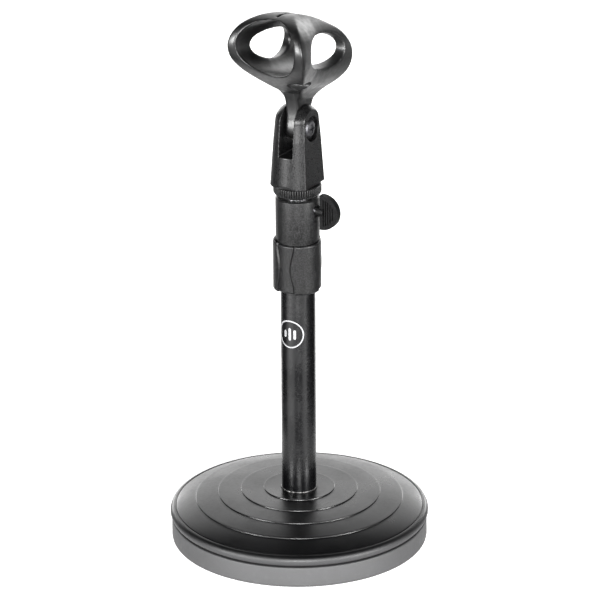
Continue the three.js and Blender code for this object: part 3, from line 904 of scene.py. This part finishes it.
# ---- Studio -------------------------------------------------------------------------------------
def in_view(right, away, up):
    """A point given as seen from the camera's side: to the right, away from it, and up, in metres."""
    c, s = math.cos(VIEW_AZIMUTH), math.sin(VIEW_AZIMUTH)
    return Vector((right * c - away * s, right * s + away * c, up))


def aim(obj, place, target, roll):
    """Points an object's -Z axis from a place at a target."""
    obj.location = place
    turn = (target - place).to_track_quat("-Z", "Y").to_matrix().to_4x4()
    obj.matrix_world = Matrix.Translation(place) @ turn @ Matrix.Rotation(roll, 4, "Z")


def build_camera():
    target = in_view(VIEW_SIDE, 0, VIEW_HEIGHT)
    away = -VIEW_DISTANCE * math.cos(VIEW_PITCH)
    place = in_view(VIEW_SIDE, away, VIEW_HEIGHT + VIEW_DISTANCE * math.sin(VIEW_PITCH))
    data = bpy.data.cameras.new("camera")
    data.sensor_width = SENSOR_MM
    data.lens = LENS_MM
    camera = new_object("camera", data)
    aim(camera, place, target, VIEW_ROLL)
    bpy.context.scene.camera = camera


def build_world():
    """A dim room with soft white panels all round it, given as patches of the world's own light."""
    world = bpy.data.worlds.new("studio")
    world.use_nodes = True
    tree = world.node_tree
    background = tree.nodes["Background"]
    direction = tree.nodes.new("ShaderNodeTexCoord").outputs["Generated"]
    total = None
    for azimuth, elevation, inner, outer, radiance in PANELS:
        level = math.cos(math.radians(elevation))
        turn = math.radians(azimuth)
        centre = in_view(math.sin(turn) * level, math.cos(turn) * level, 0)
        dot = tree.nodes.new("ShaderNodeVectorMath")
        dot.operation = "DOT_PRODUCT"
        dot.inputs[1].default_value = (centre.x, centre.y, math.sin(math.radians(elevation)))
        tree.links.new(direction, dot.inputs[0])
        patch = tree.nodes.new("ShaderNodeMapRange")
        patch.interpolation_type = "SMOOTHSTEP"
        patch.inputs["From Min"].default_value = math.cos(math.radians(outer))
        patch.inputs["From Max"].default_value = math.cos(math.radians(inner))
        patch.inputs["To Max"].default_value = radiance
        tree.links.new(dot.outputs["Value"], patch.inputs["Value"])
        joined = tree.nodes.new("ShaderNodeMath")
        joined.operation = "ADD"
        joined.inputs[0].default_value = ROOM_LEVEL
        if total:
            tree.links.new(total, joined.inputs[0])
        tree.links.new(patch.outputs["Result"], joined.inputs[1])
        total = joined.outputs["Value"]
    tree.links.new(total, background.inputs["Strength"])
    background.inputs["Color"].default_value = (1, 1, 1, 1)
    bpy.context.scene.world = world


def build_cloths():
    """Flat sectors of dark felt round the stand, which only its sheen picks up."""
    steps = 24
    for index, (first, last, near, far) in enumerate(CLOTHS):
        section = (
            (near, CLOTH_BOTTOM),
            (far, CLOTH_BOTTOM),
            (far, CLOTH_TOP),
            (near, CLOTH_TOP),
        )
        rows = []
        for i in range(steps + 1):
            angle = math.radians(180 + first + (last - first) * i / steps)
            side, ahead = math.sin(angle), math.cos(angle)
            edge_points = []
            for reach, height in section:
                place = in_view(side * reach, ahead * reach, 0) / MM
                edge_points.append((place.x, place.y, height))
            rows.append(edge_points)
        cloth = grid_mesh(f"dark_cloth_{index + 1}", rows, closed_rows=False)
        dress(cloth, "felt_pad")
        cloth.visible_camera = False
        cloth.visible_diffuse = False
        cloth.visible_shadow = False
        cloth.visible_transmission = False


def build_studio():
    """A plain pale floor that glows a little, the cloths, and the light."""
    bm = bmesh.new()
    bmesh.ops.create_grid(bm, x_segments=8, y_segments=8, size=FLOOR_SIZE / 2)
    mesh = bpy.data.meshes.new("floor")
    bm.to_mesh(mesh)
    bm.free()
    floor = new_object("floor", mesh)
    finish = Finish("floor_paper")
    fibre = finish.noise(3, 3)
    colour = finish.mix(fibre, (0.93, 0.93, 0.93), (0.96, 0.96, 0.96))
    finish.shader.inputs["Emission Color"].default_value = (1, 1, 1, 1)
    finish.shader.inputs["Emission Strength"].default_value = FLOOR_GLOW
    floor.data.materials.append(finish.done(colour, finish.ramp(fibre, 0.3, 0.7, 0.8, 0.9)))
    build_cloths()
    build_world()
    bpy.context.scene.view_settings.view_transform = "Standard"
    bpy.context.scene.view_settings.look = "Medium High Contrast"


finish_nodes()
build_base()
build_tube()
build_badge()
build_sleeve()
build_collar()
build_thumb_boss()
build_lock_ring()
build_head()
build_camera()
build_studio()

bpy.context.view_layer.update()
